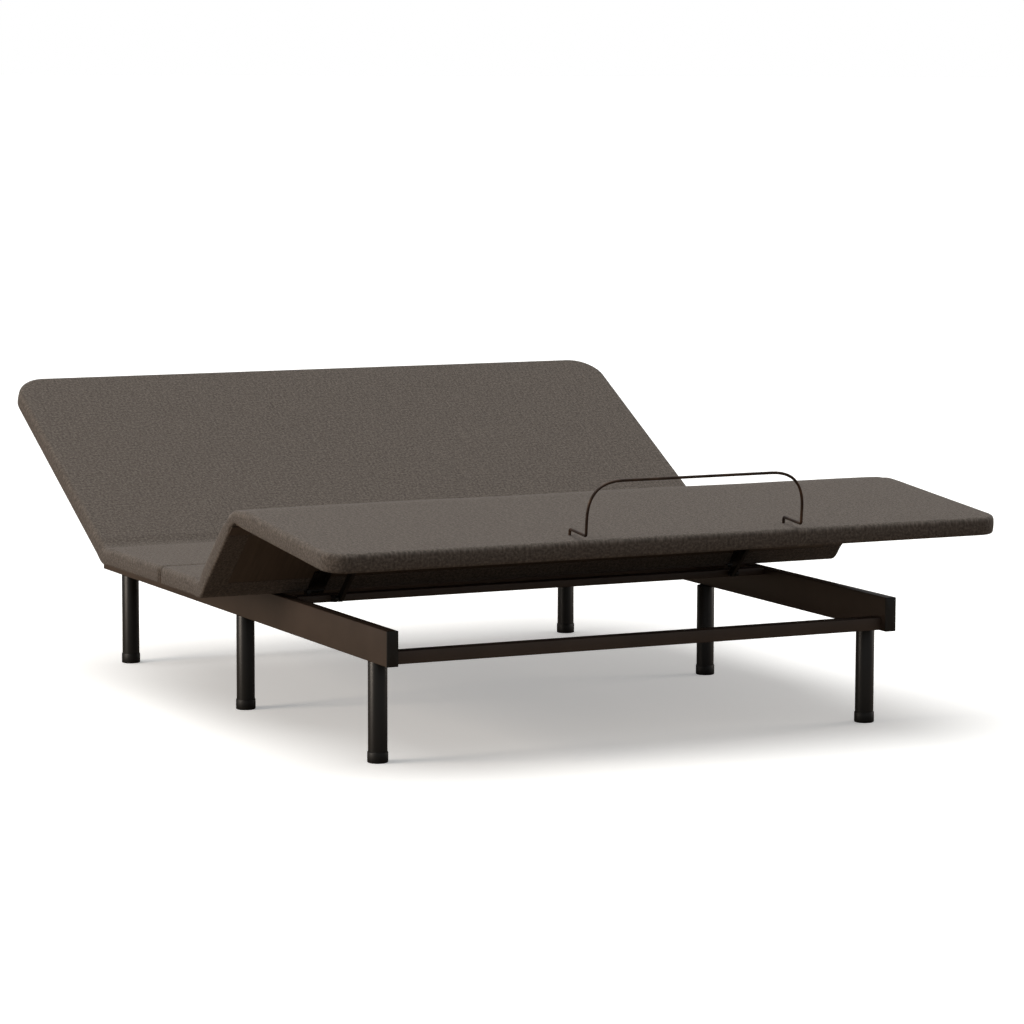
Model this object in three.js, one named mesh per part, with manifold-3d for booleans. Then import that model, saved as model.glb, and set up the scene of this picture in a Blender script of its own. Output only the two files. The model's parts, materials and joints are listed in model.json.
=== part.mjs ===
// Adjustable bed base, queen size: a steel frame on six legs, and an upholstered deck that folds
// at the back, the thigh and the knee, driven by two linear actuators.
// Millimetres, +Z up, +Y towards the head, +X to the right of somebody looking from the foot.
// The deck is modelled raised, as it stands at rest: back at 28 degrees, thigh at 43 degrees.
import * as THREE from 'three';
import { mergeVertices } from 'three/addons/utils/BufferGeometryUtils.js';
import Module from 'manifold-3d';

const wasm = await Module();
wasm.setup();

// ---- driving dimensions ----
const GAP = 0.3; // air left between pieces that touch
const DECK_WIDTH = 1524;
const BACK_LENGTH = 707;
const SEAT_LENGTH = 597;
const THIGH_LENGTH = 256;
const LEG_LENGTH = 497;
const DECK_THICKNESS = 37;
const BOARD_THICKNESS = 15;
const BOARD_INSET = 3; // board edge inside the upholstered edge
const DECK_UNDERSIDE = 285;
const BACK_FOLD_Y = 359; // fold lines, measured from the middle legs
const THIGH_FOLD_Y = BACK_FOLD_Y - SEAT_LENGTH;
const CUSHION_SPLIT_Y = -3; // where the two cushions of the seat meet
const CUSHION_GAP = 3;
const BACK_CORNER_RADIUS = 75;
const FOOT_CORNER_RADIUS = 45;
const BACK_ANGLE = 28; // degrees above flat at rest
const THIGH_ANGLE = 43;
const LEG_SLOPE = 5.1; // foot end below level at rest
const BACK_MAX = 60; // steepest positions, degrees above flat
const THIGH_MAX = 45;

const LEG_TOP = 205.2;
const LEG_RADIUS = 19.7;
const LEG_WALL = 1.6;
const LEG_X = 564.3;
const LEG_ROWS = { foot: -706, middle: 0, head: 714 };
const FOOT_PAD_RADIUS = 21.2;
const FOOT_PAD_HEIGHT = 22;
const FOOT_PAD_FLOOR = 3;

const RAIL_OUTER_X = 584.1;
const RAIL_WIDTH = 25;
const RAIL_HEIGHT = 72;
const RAIL_WALL = 2;
const RAIL_BOTTOM = LEG_TOP + GAP;
const RAIL_TOP = RAIL_BOTTOM + RAIL_HEIGHT;
const RAIL_INNER_X = RAIL_OUTER_X - RAIL_WIDTH;
const RAIL_FOOT_Y = -794.6;
const RAIL_HEAD_Y = 837.7;
const CAP_THICKNESS = 2;
const CAP_PLUG = 14;
const CROSS_WALL = 1.5;
const CROSS_HALF_LENGTH = RAIL_INNER_X - GAP;

// y0, depth along Y, z0, height
const CROSS_TUBES = {
  foot_cross_tube: [-778.3, 30, 207, 26.4],
  thigh_cross_tube: [-278.8, 28, 263.6, 16],
  middle_cross_tube: [-45, 25, 246.5, DECK_UNDERSIDE - GAP - 246.5],
  seat_cross_tube: [280, 25, 258.7, DECK_UNDERSIDE - GAP - 258.7],
  head_cross_tube: [790, 30, 207, 26.4],
};

const KNUCKLE_RADIUS = 9;
const PIN_RADIUS = 4;
const RUNNING_CLEARANCE = 0.35;
const BOARD_SETBACK = 13; // room for the hinge knuckles between two boards
const LEAF_TOP = -1; // hinge leaves lie this far under the deck
const LEAF_THICKNESS = 4;
const LEAF_WIDTH = 30;
const HINGE_X = 500;
const RIB_DEPTH = 13;
const RIB_THICKNESS = 4;
const RIB_START = { back: 40, thigh: 60 }; // from the fold

const LINK_X = 468; // the two bars that carry the leg section
const LINK_THICKNESS = 8;
const LINK_RADIUS = 7.5;
const LINK_FRAME_PIVOT = [-295, 273]; // Y, Z
const LINK_LEG_PIVOT = [-44, -12]; // Y, Z in the leg section's own frame
const LINK_OPEN_CLEARANCE = 1.2; // the open pivot of the closed linkage
const LUG_THICKNESS = 6;
const LUG_GAP = 4;
const LUG_ROOT = 32; // widths of a lug at the leaf and at its tip
const LUG_TIP = 18;
const BACK_LEAF = 50; // lengths of the hinge leaves, from the fold
const THIGH_LEAF = 110;
const LEG_LEAF = 150;
const BACK_ARM = 420;

// `stroke` is how far the rod draws in from rest, `play` half the pin's travel along its slot
const BACK_DRIVE = { x: 0, tail: [0, 250], arm: 65, play: 10, stroke: 34 };
const THIGH_DRIVE = { x: -519.3, tail: [120, 217.5], arm: 55, play: 5, stroke: 38 };
const LEVER_THICKNESS = 8;
const LEVER_RIM = 6; // metal round the slot
const BACK_LEVER = { heel: -6, length: 190, endDepth: 14, elbow: [34, -30] };
const THIGH_LEVER = { hub: 6.5, strip: 70 };
const DRIVE_PIN_RADIUS = 5;
const DRIVE_PIN_PLAY = 1.8;
const ROD_RADIUS = 9;
const OUTER_TUBE_RADIUS = 14;
const TAIL_EYE = { radius: 12, halfWidth: 8, neck: 16 };
const TAIL_EARS = { inner: 11, outer: 15, below: 12, above: 22 };
const BRACKET_THICKNESS = 4;
const FORK_LENGTH = 40;
const FORK_WIDTH = 20;
const FORK_HEIGHT = 20;
const GEARBOX = { length: 74, width: 34, height: 40 };
const MOTOR_RADIUS = 21;
const MOTOR_LENGTH = 92;
const MOTOR_Y = 46; // from the tail pin
const ROD_OVERLAP = 8; // rod left inside the tube at full travel
const CONTROL_BOX = { x: [180, 380], y: [110, 235], bottom: 248 };
const SOCKET = { width: 22, height: 12, depth: 12, rise: 10 };
const INLET_RADIUS = 7;

const RETAINER_ROD_RADIUS = 3;
const RETAINER_X = [-218, 270];
const RETAINER_UPRIGHT_Y = -512; // along the leg section, just past its end
const RETAINER_SOCKET_Y = -441;
const RETAINER_FOOT_RISE = 13.5; // the feet stand this far off the deck
const RETAINER_HEIGHT = 121.8;
const RETAINER_CORNER = 75;
const RETAINER_BEND = 5;
const RETAINER_TAIL_Z = 4;

const ROUND = 24; // sides of a round section

// ---- finishes ----
const finish = (color, roughness, metalness = 0) =>
  new THREE.MeshStandardMaterial({ color, roughness, metalness });
const frameSteel = () => finish(0x3b312a, 0.45, 0.4);
const blackSteel = () => finish(0x141310, 0.45, 0.4);
const zincSteel = () => finish(0x8d9092, 0.4, 0.9);
const blackPlastic = () => finish(0x18181a, 0.6);
const plywood = () => finish(0xb89468, 0.7);
const wovenFabric = () => finish(0x665d56, 0.95);
const bronzeRod = () => finish(0x3a2c22, 0.35, 0.6);

// ---- shape helpers ----
const radians = (degrees) => (degrees * Math.PI) / 180;
const named = (name, geometry, material) => {
  const mesh = new THREE.Mesh(geometry, material);
  mesh.name = name;
  return mesh;
};
const box = (x0, x1, y0, y1, z0, z1) =>
  new THREE.BoxGeometry(x1 - x0, y1 - y0, z1 - z0).translate((x0 + x1) / 2, (y0 + y1) / 2, (z0 + z1) / 2);
const outline = (points) => new THREE.Shape(points.map(([a, b]) => new THREE.Vector2(a, b)));
const rectangle = (a0, a1, b0, b1) => outline([[a0, b0], [a1, b0], [a1, b1], [a0, b1]]);
const extrude = (shape, depth, curveSegments = 6) =>
  new THREE.ExtrudeGeometry(shape, { depth, bevelEnabled: false, curveSegments });
// an outline drawn in Y and Z, swept along +X from x0 to x1
const alongX = (shape, x0, x1, curveSegments) =>
  extrude(shape, x1 - x0, curveSegments)
    .applyMatrix4(
      new THREE.Matrix4().makeBasis(
        new THREE.Vector3(0, 1, 0),
        new THREE.Vector3(0, 0, 1),
        new THREE.Vector3(1, 0, 0),
      ),
    )
    .translate(x0, 0, 0);
// an outline drawn in X and Z, swept along Y from y0 to y1
const alongY = (shape, y0, y1) =>
  extrude(shape, y1 - y0)
    .applyMatrix4(
      new THREE.Matrix4().makeBasis(
        new THREE.Vector3(1, 0, 0),
        new THREE.Vector3(0, 0, 1),
        new THREE.Vector3(0, -1, 0),
      ),
    )
    .translate(0, y1, 0);
const ring = (a0, a1, b0, b1, wall) => {
  const shape = rectangle(a0, a1, b0, b1);
  shape.holes.push(rectangle(a0 + wall, a1 - wall, b0 + wall, b1 - wall));
  return shape;
};
const barAlongX = (radius, x0, x1, y, z) =>
  new THREE.CylinderGeometry(radius, radius, x1 - x0, ROUND)
    .rotateZ(-Math.PI / 2)
    .translate((x0 + x1) / 2, y, z);

// ---- joining and cutting ----
const toSolid = (geometry) => {
  const bare = geometry.clone();
  bare.deleteAttribute('normal');
  bare.deleteAttribute('uv');
  const merged = mergeVertices(bare, 1e-4);
  return new wasm.Manifold(
    new wasm.Mesh({
      numProp: 3,
      vertProperties: Float32Array.from(merged.attributes.position.array),
      triVerts: Uint32Array.from(merged.index.array),
    }),
  );
};
const fromSolid = (solid) => {
  const mesh = solid.getMesh();
  const geometry = new THREE.BufferGeometry();
  geometry.setAttribute('position', new THREE.BufferAttribute(Float32Array.from(mesh.vertProperties), 3));
  geometry.setIndex(new THREE.BufferAttribute(Uint32Array.from(mesh.triVerts), 1));
  geometry.computeVertexNormals();
  return geometry;
};
const join = (...parts) => fromSolid(parts.map(toSolid).reduce((a, b) => a.add(b)));
const cut = (base, ...tools) => fromSolid(tools.map(toSolid).reduce((a, b) => a.subtract(b), toSolid(base)));
const overlap = (a, b) => fromSolid(toSolid(a).intersect(toSolid(b)));

// ---- the sections of the deck: each group's origin is its hinge line ----
const bed = new THREE.Group();
const back = new THREE.Group();
back.position.set(0, BACK_FOLD_Y, DECK_UNDERSIDE);
back.rotation.x = radians(BACK_ANGLE);
const thigh = new THREE.Group();
thigh.position.set(0, THIGH_FOLD_Y, DECK_UNDERSIDE);
thigh.rotation.x = -radians(THIGH_ANGLE);
const leg = new THREE.Group();
leg.position.set(0, -THIGH_LENGTH, 0);
leg.rotation.x = radians(THIGH_ANGLE + LEG_SLOPE);
thigh.add(leg);
bed.add(back, thigh);

// ---- frame ----
function sideRail(name, sign) {
  const near = Math.min(sign * RAIL_INNER_X, sign * RAIL_OUTER_X);
  const section = ring(near, near + RAIL_WIDTH, RAIL_BOTTOM, RAIL_TOP, RAIL_WALL);
  bed.add(named(name, alongY(section, RAIL_FOOT_Y, RAIL_HEAD_Y), frameSteel()));
}

function railCap(name, sign, end) {
  const x0 = Math.min(sign * RAIL_INNER_X, sign * RAIL_OUTER_X);
  const x1 = x0 + RAIL_WIDTH;
  const face = end < 0 ? RAIL_FOOT_Y : RAIL_HEAD_Y;
  const span = (from, to) => [face + end * from, face + end * to].sort((a, b) => a - b);
  const inset = RAIL_WALL + GAP;
  const plate = box(x0, x1, ...span(GAP, GAP + CAP_THICKNESS), RAIL_BOTTOM, RAIL_TOP);
  const [plugX0, plugX1] = [x0 + inset, x1 - inset];
  const plug = box(plugX0, plugX1, ...span(-CAP_PLUG, GAP + 1), RAIL_BOTTOM + inset, RAIL_TOP - inset);
  bed.add(named(name, join(plate, plug), blackPlastic()));
}

function crossTube(name, [y0, depth, z0, height]) {
  const section = ring(y0, y0 + depth, z0, z0 + height, CROSS_WALL);
  bed.add(named(name, alongX(section, -CROSS_HALF_LENGTH, CROSS_HALF_LENGTH), frameSteel()));
}

function legTube(name, x, y) {
  const bore = LEG_RADIUS - LEG_WALL;
  const profile = outline([
    [0, LEG_TOP], [0, LEG_TOP - LEG_WALL], [bore, LEG_TOP - LEG_WALL], [bore, FOOT_PAD_FLOOR + GAP],
    [LEG_RADIUS, FOOT_PAD_FLOOR + GAP], [LEG_RADIUS, LEG_TOP], [0, LEG_TOP],
  ]).getPoints();
  const tube = new THREE.LatheGeometry(profile.slice(1), ROUND).rotateX(Math.PI / 2).translate(x, y, 0);
  bed.add(named(name, tube, blackSteel()));
}

function footPad(name, x, y) {
  const seat = LEG_RADIUS + GAP;
  const edge = 1.2;
  const profile = [
    [0, 0], [FOOT_PAD_RADIUS - edge, 0], [FOOT_PAD_RADIUS, edge], [FOOT_PAD_RADIUS, FOOT_PAD_HEIGHT],
    [seat, FOOT_PAD_HEIGHT], [seat, FOOT_PAD_FLOOR], [0, FOOT_PAD_FLOOR],
  ].map(([radius, z]) => new THREE.Vector2(radius, z));
  const pad = new THREE.LatheGeometry(profile, ROUND).rotateX(Math.PI / 2).translate(x, y, 0);
  bed.add(named(name, pad, blackPlastic()));
}

for (const [side, sign] of [['left', -1], ['right', 1]]) {
  sideRail(`rail_${side}`, sign);
  railCap(`rail_cap_${side}_foot`, sign, -1);
  railCap(`rail_cap_${side}_head`, sign, 1);
  for (const [row, y] of Object.entries(LEG_ROWS)) {
    legTube(`leg_${side}_${row}`, sign * LEG_X, y);
    footPad(`foot_pad_${side}_${row}`, sign * LEG_X, y);
  }
}
for (const [name, place] of Object.entries(CROSS_TUBES)) crossTube(name, place);

// ---- deck: a plywood board under an upholstered pad in each section ----
// the section's plan, from y0 to y1, with both corners of the end named by `end` rounded
function plan(halfWidth, y0, y1, radius = 0, end = 1) {
  if (radius === 0) return rectangle(-halfWidth, halfWidth, y0, y1);
  const square = end > 0 ? y0 : y1;
  const round = end > 0 ? y1 : y0;
  const centre = round - end * radius;
  const shape = new THREE.Shape();
  shape.moveTo(-halfWidth, square);
  shape.lineTo(halfWidth, square);
  shape.lineTo(halfWidth, centre);
  shape.absarc(halfWidth - radius, centre, radius, 0, (end * Math.PI) / 2, end < 0);
  shape.absarc(radius - halfWidth, centre, radius, (end * Math.PI) / 2, end * Math.PI, end < 0);
  return shape;
}

function board(y0, y1, radius, end) {
  const cornerRadius = Math.max(0, radius - BOARD_INSET);
  return extrude(plan(DECK_WIDTH / 2 - BOARD_INSET, y0, y1, cornerRadius, end), BOARD_THICKNESS);
}

// a pad whose ends lean back by the angles `lean0` and `lean1` (degrees) from the folds they meet
function pad(y0, y1, lean0, lean1, radius = 0, end = 1) {
  const bottom = BOARD_THICKNESS + GAP;
  const back0 = (z) => y0 + z * Math.tan(radians(lean0));
  const back1 = (z) => y1 - z * Math.tan(radians(lean1));
  const side = outline([
    [back0(bottom), bottom], [back1(bottom), bottom], [back1(DECK_THICKNESS), DECK_THICKNESS],
    [back0(DECK_THICKNESS), DECK_THICKNESS],
  ]);
  const slab = alongX(side, -DECK_WIDTH / 2, DECK_WIDTH / 2);
  if (radius === 0) return slab;
  return overlap(slab, extrude(plan(DECK_WIDTH / 2, y0, y1, radius, end), DECK_THICKNESS + 1));
}

const PAD_END_GAP = 1;
const backLean = BACK_MAX / 2 + 0.5;
const thighLean = THIGH_MAX / 2 + 0.5;
const rearSplit = CUSHION_SPLIT_Y + CUSHION_GAP / 2;
const frontSplit = CUSHION_SPLIT_Y - CUSHION_GAP / 2;
const atDeck = (geometry) => geometry.translate(0, 0, DECK_UNDERSIDE);

bed.add(
  named('seat_board_rear', atDeck(board(rearSplit, BACK_FOLD_Y - BOARD_SETBACK, 0)), plywood()),
  named('seat_board_front', atDeck(board(THIGH_FOLD_Y + BOARD_SETBACK, frontSplit, 0)), plywood()),
  named('seat_pad_rear', atDeck(pad(rearSplit, BACK_FOLD_Y - PAD_END_GAP, 0, backLean)), wovenFabric()),
  named('seat_pad_front', atDeck(pad(THIGH_FOLD_Y + PAD_END_GAP, frontSplit, thighLean, 0)), wovenFabric()),
);
back.add(
  named('back_board', board(BOARD_SETBACK, BACK_LENGTH - BOARD_INSET, BACK_CORNER_RADIUS, 1), plywood()),
  named('back_pad', pad(PAD_END_GAP, BACK_LENGTH, backLean, 0, BACK_CORNER_RADIUS, 1), wovenFabric()),
);
thigh.add(
  named('thigh_board', board(BOARD_SETBACK - THIGH_LENGTH, -BOARD_SETBACK, 0), plywood()),
  named('thigh_pad', pad(PAD_END_GAP - THIGH_LENGTH, -PAD_END_GAP, 0, thighLean), wovenFabric()),
);

const socketHole = (x) =>
  new THREE.CylinderGeometry(RETAINER_ROD_RADIUS + 0.6, RETAINER_ROD_RADIUS + 0.6, DECK_THICKNESS, 12)
    .rotateX(Math.PI / 2)
    .translate(x, RETAINER_SOCKET_Y, RETAINER_TAIL_Z - 2 + DECK_THICKNESS / 2);
leg.add(
  named(
    'leg_board',
    cut(
      board(BOARD_INSET - LEG_LENGTH, -BOARD_SETBACK, FOOT_CORNER_RADIUS, -1),
      ...RETAINER_X.map(socketHole),
    ),
    plywood(),
  ),
  named(
    'leg_pad',
    cut(
      pad(-LEG_LENGTH, -PAD_END_GAP, 0, 0, FOOT_CORNER_RADIUS, -1),
      ...RETAINER_X.map(socketHole),
    ),
    wovenFabric(),
  ),
);

// ---- hinges: leaves under the boards, with a knuckle and a pin on each hinge line ----
// `toward` is the side of the hinge line on which the leaf lies; the pin points along `outward`
function leafPlate(x0, x1, from, to) {
  const [y0, y1] = [from, to].sort((a, b) => a - b);
  return box(x0, x1, y0, y1, LEAF_TOP - LEAF_THICKNESS, LEAF_TOP);
}

function knuckle(x0, x1, toward) {
  const reach = KNUCKLE_RADIUS + 4;
  return [barAlongX(KNUCKLE_RADIUS, x0, x1, 0, 0), leafPlate(x0, x1, 0, toward * reach)];
}

const halfWidth = LEAF_WIDTH / 2;
const pinBore = (x0, x1) => barAlongX(PIN_RADIUS + RUNNING_CLEARANCE, x0 - 1, x1 + 1, 0, 0);

function fixedHinge(name, group, sign, toward, length) {
  const inner = sign * (HINGE_X - halfWidth);
  const middle = sign * HINGE_X;
  const outer = sign * (HINGE_X + halfWidth);
  const [k0, k1] = [inner, middle - sign * GAP].sort((a, b) => a - b);
  const [p0, p1] = [middle - sign * 2, outer].sort((a, b) => a - b);
  const [l0, l1] = [inner, outer].sort((a, b) => a - b);
  const geometry = join(
    ...knuckle(k0, k1, toward),
    leafPlate(l0, l1, toward * (KNUCKLE_RADIUS + 3), toward * length),
    barAlongX(PIN_RADIUS, p0, p1, 0, 0),
  );
  group.add(named(name, geometry, blackSteel()));
}

// two distances from the middle plane as a range of X on one side, the lower value first
const between = (sign, from, to) => [sign * from, sign * to].sort((a, b) => a - b);
// the outer half of the hinge line, where a moving leaf's knuckle turns on the pin
const outerHalf = (sign) => between(sign, HINGE_X + GAP, HINGE_X + halfWidth);
const fullWidth = (sign) => between(sign, HINGE_X - halfWidth, HINGE_X + halfWidth);

function rib(sign, from, to) {
  const x = sign * HINGE_X;
  const [y0, y1] = [from, to].sort((a, b) => a - b);
  const top = LEAF_TOP - LEAF_THICKNESS;
  return box(x - RIB_THICKNESS / 2, x + RIB_THICKNESS / 2, y0, y1, top - RIB_DEPTH, top + 0.5);
}

function backArm(name, sign) {
  const [k0, k1] = outerHalf(sign);
  const body = join(
    ...knuckle(k0, k1, 1),
    leafPlate(...fullWidth(sign), KNUCKLE_RADIUS + 3, BACK_ARM),
    rib(sign, RIB_START.back, BACK_ARM - 10),
  );
  back.add(named(name, cut(body, pinBore(k0, k1)), blackSteel()));
}

// runs the whole thigh: turns on the thigh hinge's pin, and carries the knee hinge's pin
function thighArm(name, sign) {
  const [k0, k1] = outerHalf(sign);
  const [n0, n1] = between(sign, HINGE_X - halfWidth, HINGE_X - GAP);
  const [p0, p1] = between(sign, HINGE_X - 2, HINGE_X + halfWidth);
  const knee = -THIGH_LENGTH;
  const shift = (geometry) => geometry.translate(0, knee, 0);
  const body = join(
    ...knuckle(k0, k1, -1),
    leafPlate(...fullWidth(sign), -(KNUCKLE_RADIUS + 3), knee + KNUCKLE_RADIUS + 3),
    ...knuckle(n0, n1, 1).map(shift),
    rib(sign, -RIB_START.thigh, knee + 20),
  );
  const bored = cut(body, pinBore(k0, k1));
  thigh.add(named(name, join(bored, shift(barAlongX(PIN_RADIUS, p0, p1, 0, 0))), blackSteel()));
}

function lugSpan(sign) {
  const inner = LINK_X + LINK_THICKNESS / 2 + LUG_GAP;
  return between(sign, inner, inner + LUG_THICKNESS);
}

// a pin that stands from a lug through the link, at Y and Z
function lugPin(sign, y, z) {
  const from = LINK_X - LINK_THICKNESS / 2 - LUG_GAP;
  const to = LINK_X + LINK_THICKNESS / 2 + LUG_GAP + LUG_THICKNESS / 2;
  const [x0, x1] = between(sign, from, to);
  return barAlongX(PIN_RADIUS, x0, x1, y, z);
}

function legBracket(name, sign) {
  const [k0, k1] = outerHalf(sign);
  const [u0, u1] = lugSpan(sign);
  const [y, z] = LINK_LEG_PIVOT;
  const [root, tip] = [LUG_ROOT / 2, LUG_TIP / 2];
  const [high, low] = [LEAF_TOP - 1, z - LINK_RADIUS];
  const lug = outline([[y + root, high], [y + tip, low], [y - tip, low], [y - root, high]]);
  const [w0, w1] = between(sign, LINK_X + LINK_THICKNESS, HINGE_X + halfWidth);
  const body = join(
    ...knuckle(k0, k1, -1),
    leafPlate(w0, w1, -(KNUCKLE_RADIUS + 3), -LEG_LEAF),
    alongX(lug, u0, u1),
    lugPin(sign, y, z),
  );
  leg.add(named(name, cut(body, pinBore(k0, k1)), blackSteel()));
}

// stands on the front of the thigh cross tube
function linkBracket(name, sign) {
  const [u0, u1] = lugSpan(sign);
  const [y, z] = LINK_FRAME_PIVOT;
  const [tubeY, , tubeZ, tubeHeight] = CROSS_TUBES.thigh_cross_tube;
  const face = tubeY - GAP;
  const shape = new THREE.Shape();
  shape.moveTo(face, tubeZ + tubeHeight - 1);
  shape.lineTo(y, z + LINK_RADIUS);
  shape.absarc(y, z, LINK_RADIUS, Math.PI / 2, (3 * Math.PI) / 2, false);
  shape.lineTo(face, tubeZ);
  bed.add(named(name, join(alongX(shape, u0, u1), lugPin(sign, y, z)), blackSteel()));
}

function legLink(name, sign) {
  const [fy, fz] = LINK_FRAME_PIVOT;
  leg.updateWorldMatrix(true, false);
  const end = new THREE.Vector3(0, ...LINK_LEG_PIVOT).applyMatrix4(leg.matrixWorld);
  const span = Math.hypot(end.y - fy, end.z - fz);
  const shape = new THREE.Shape();
  shape.absarc(0, 0, LINK_RADIUS, Math.PI / 2, (3 * Math.PI) / 2, true);
  shape.absarc(-span, 0, LINK_RADIUS, (3 * Math.PI) / 2, Math.PI / 2, true);
  const hole = (y, radius) => {
    const path = new THREE.Path();
    path.absarc(y, 0, radius, 0, 2 * Math.PI);
    return path;
  };
  shape.holes.push(hole(0, PIN_RADIUS + RUNNING_CLEARANCE), hole(-span, PIN_RADIUS + LINK_OPEN_CLEARANCE));
  const x = sign * LINK_X;
  const mesh = named(name, alongX(shape, x - LINK_THICKNESS / 2, x + LINK_THICKNESS / 2, 12), blackSteel());
  mesh.position.set(0, fy, fz);
  mesh.rotation.x = Math.atan2(-(end.z - fz), -(end.y - fy));
  bed.add(mesh);
}

const backFoldLine = new THREE.Group();
backFoldLine.position.set(0, BACK_FOLD_Y, DECK_UNDERSIDE);
const thighFoldLine = new THREE.Group();
thighFoldLine.position.set(0, THIGH_FOLD_Y, DECK_UNDERSIDE);
bed.add(backFoldLine, thighFoldLine);
for (const [side, sign] of [['left', -1], ['right', 1]]) {
  fixedHinge(`back_hinge_${side}`, backFoldLine, sign, -1, BACK_LEAF);
  fixedHinge(`thigh_hinge_${side}`, thighFoldLine, sign, 1, THIGH_LEAF);
  backArm(`back_arm_${side}`, sign);
  thighArm(`thigh_arm_${side}`, sign);
  legBracket(`leg_bracket_${side}`, sign);
  linkBracket(`link_bracket_${side}`, sign);
  legLink(`leg_link_${side}`, sign);
}

// ---- drives: an actuator pushes the slotted tip of a lever under the back, and under the thigh ----
const leverTip = ({ arm }, rise) => {
  const angle = radians(rise);
  return [arm * Math.sin(angle), -arm * Math.cos(angle)];
};

const slotRadius = DRIVE_PIN_RADIUS + DRIVE_PIN_PLAY;
const leverRim = slotRadius + LEVER_RIM;

// the slot runs along the lever's arm; `out` is the arm's direction and `play` half the pin's travel
function leverSlot([ty, tz], out, play) {
  const end = (reach) => [ty + reach * Math.cos(out), tz + reach * Math.sin(out)];
  const slot = new THREE.Path();
  slot.absarc(...end(play), slotRadius, out - Math.PI / 2, out + Math.PI / 2, false);
  slot.absarc(...end(-play), slotRadius, out + Math.PI / 2, out + (3 * Math.PI) / 2, false);
  return { slot, tip: end(play) };
}

function addLever(name, group, drive, shape, slot) {
  shape.holes.push(slot);
  const half = LEVER_THICKNESS / 2;
  group.add(named(name, alongX(shape, drive.x - half, drive.x + half, 8), blackSteel()));
}

// a cranked plate screwed under the back board, its arm reaching down past the fold
function backLever() {
  const centre = leverTip(BACK_DRIVE, -BACK_ANGLE);
  const out = Math.atan2(centre[1], centre[0]);
  const { slot, tip } = leverSlot(centre, out, BACK_DRIVE.play);
  const { heel, length, endDepth, elbow } = BACK_LEVER;
  const top = LEAF_TOP - 0.5;
  const shape = new THREE.Shape();
  shape.moveTo(length, top);
  shape.lineTo(heel, top);
  shape.absarc(...tip, leverRim, out - Math.PI / 2, out + Math.PI / 2, false);
  shape.lineTo(...elbow);
  shape.lineTo(length, -endDepth);
  addLever('back_lever', back, BACK_DRIVE, shape, slot);
}

// a plate welded to the left thigh arm: a strip under the board, and an arm down from the hinge line
function thighLever() {
  const { hub, strip } = THIGH_LEVER;
  const centre = leverTip(THIGH_DRIVE, THIGH_ANGLE);
  const out = Math.atan2(centre[1], centre[0]);
  const { slot, tip } = leverSlot(centre, out, THIGH_DRIVE.play);
  const shape = new THREE.Shape();
  shape.moveTo(-strip, LEAF_TOP);
  shape.lineTo(-strip, LEAF_TOP - LEAF_THICKNESS);
  shape.lineTo(-hub - 2, LEAF_TOP - LEAF_THICKNESS);
  shape.absarc(...tip, leverRim, out - Math.PI / 2, out + Math.PI / 2, false);
  shape.absarc(0, 0, hub, out + Math.PI / 2, Math.PI, false);
  shape.lineTo(-hub, LEAF_TOP);
  addLever('thigh_lever', thigh, THIGH_DRIVE, shape, slot);
}

// a drive's own frame: origin at the tail pin, +Y along the rod
function driveFrame(drive, foldY) {
  const [ty, tz] = leverTip(drive, 0);
  const dy = foldY + ty - drive.tail[0];
  const dz = DECK_UNDERSIDE + tz - drive.tail[1];
  const frame = new THREE.Group();
  frame.position.set(drive.x, ...drive.tail);
  frame.rotation.x = Math.atan2(dz, dy);
  bed.add(frame);
  return { frame, reach: Math.hypot(dy, dz) };
}

function actuator(name, drive, foldY) {
  const { frame, reach } = driveFrame(drive, foldY);
  const { stroke } = drive;
  const tubeEnd = reach - stroke - FORK_LENGTH - 6;
  const { length, width, height } = GEARBOX;
  const { radius, halfWidth: eyeHalf, neck } = TAIL_EYE;
  const boreStart = length + 8;
  const boreRadius = ROD_RADIUS + 0.5;
  const eye = cut(
    join(
      barAlongX(radius, -eyeHalf, eyeHalf, 0, 0),
      box(-eyeHalf, eyeHalf, 0, neck, -radius, radius),
      box(-width / 2, width / 2, neck - 1, length, -height / 2, height / 2),
    ),
    barAlongX(DRIVE_PIN_RADIUS + RUNNING_CLEARANCE, -width, width, 0, 0),
  );
  const tube = new THREE.LatheGeometry(
    [
      [0, length - 2], [OUTER_TUBE_RADIUS, length - 2], [OUTER_TUBE_RADIUS, tubeEnd],
      [boreRadius, tubeEnd], [boreRadius, boreStart], [0, boreStart],
    ].map(([r, y]) => new THREE.Vector2(r, y)),
    ROUND,
  );
  frame.add(named(`${name}_housing`, join(eye, tube), blackPlastic()));

  const motorStart = width / 2 + GAP;
  const motor = barAlongX(MOTOR_RADIUS, motorStart, motorStart + MOTOR_LENGTH, MOTOR_Y, 0);
  frame.add(named(`${name}_motor`, motor, blackPlastic()));

  const slot = LEVER_THICKNESS / 2 + 1;
  const forkBack = reach - FORK_LENGTH + 8;
  const forkHalf = FORK_WIDTH / 2;
  const fork = cut(
    box(-forkHalf, forkHalf, forkBack, reach + 10, -FORK_HEIGHT / 2, FORK_HEIGHT / 2),
    box(-slot, slot, forkBack + 6, reach + 20, -FORK_HEIGHT, FORK_HEIGHT),
  );
  const rodBack = boreStart + stroke + ROD_OVERLAP;
  const rodLength = forkBack + 1 - rodBack;
  const rod = new THREE.CylinderGeometry(ROD_RADIUS, ROD_RADIUS, rodLength, ROUND);
  rod.translate(0, rodBack + rodLength / 2, 0);
  const pin = barAlongX(DRIVE_PIN_RADIUS, -forkHalf - 2, forkHalf + 2, reach, 0);
  frame.add(named(`${name}_rod`, join(fork, rod, pin), zincSteel()));
}

backLever();
thighLever();
actuator('back_actuator', BACK_DRIVE, BACK_FOLD_Y);
actuator('thigh_actuator', THIGH_DRIVE, THIGH_FOLD_Y);

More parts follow.
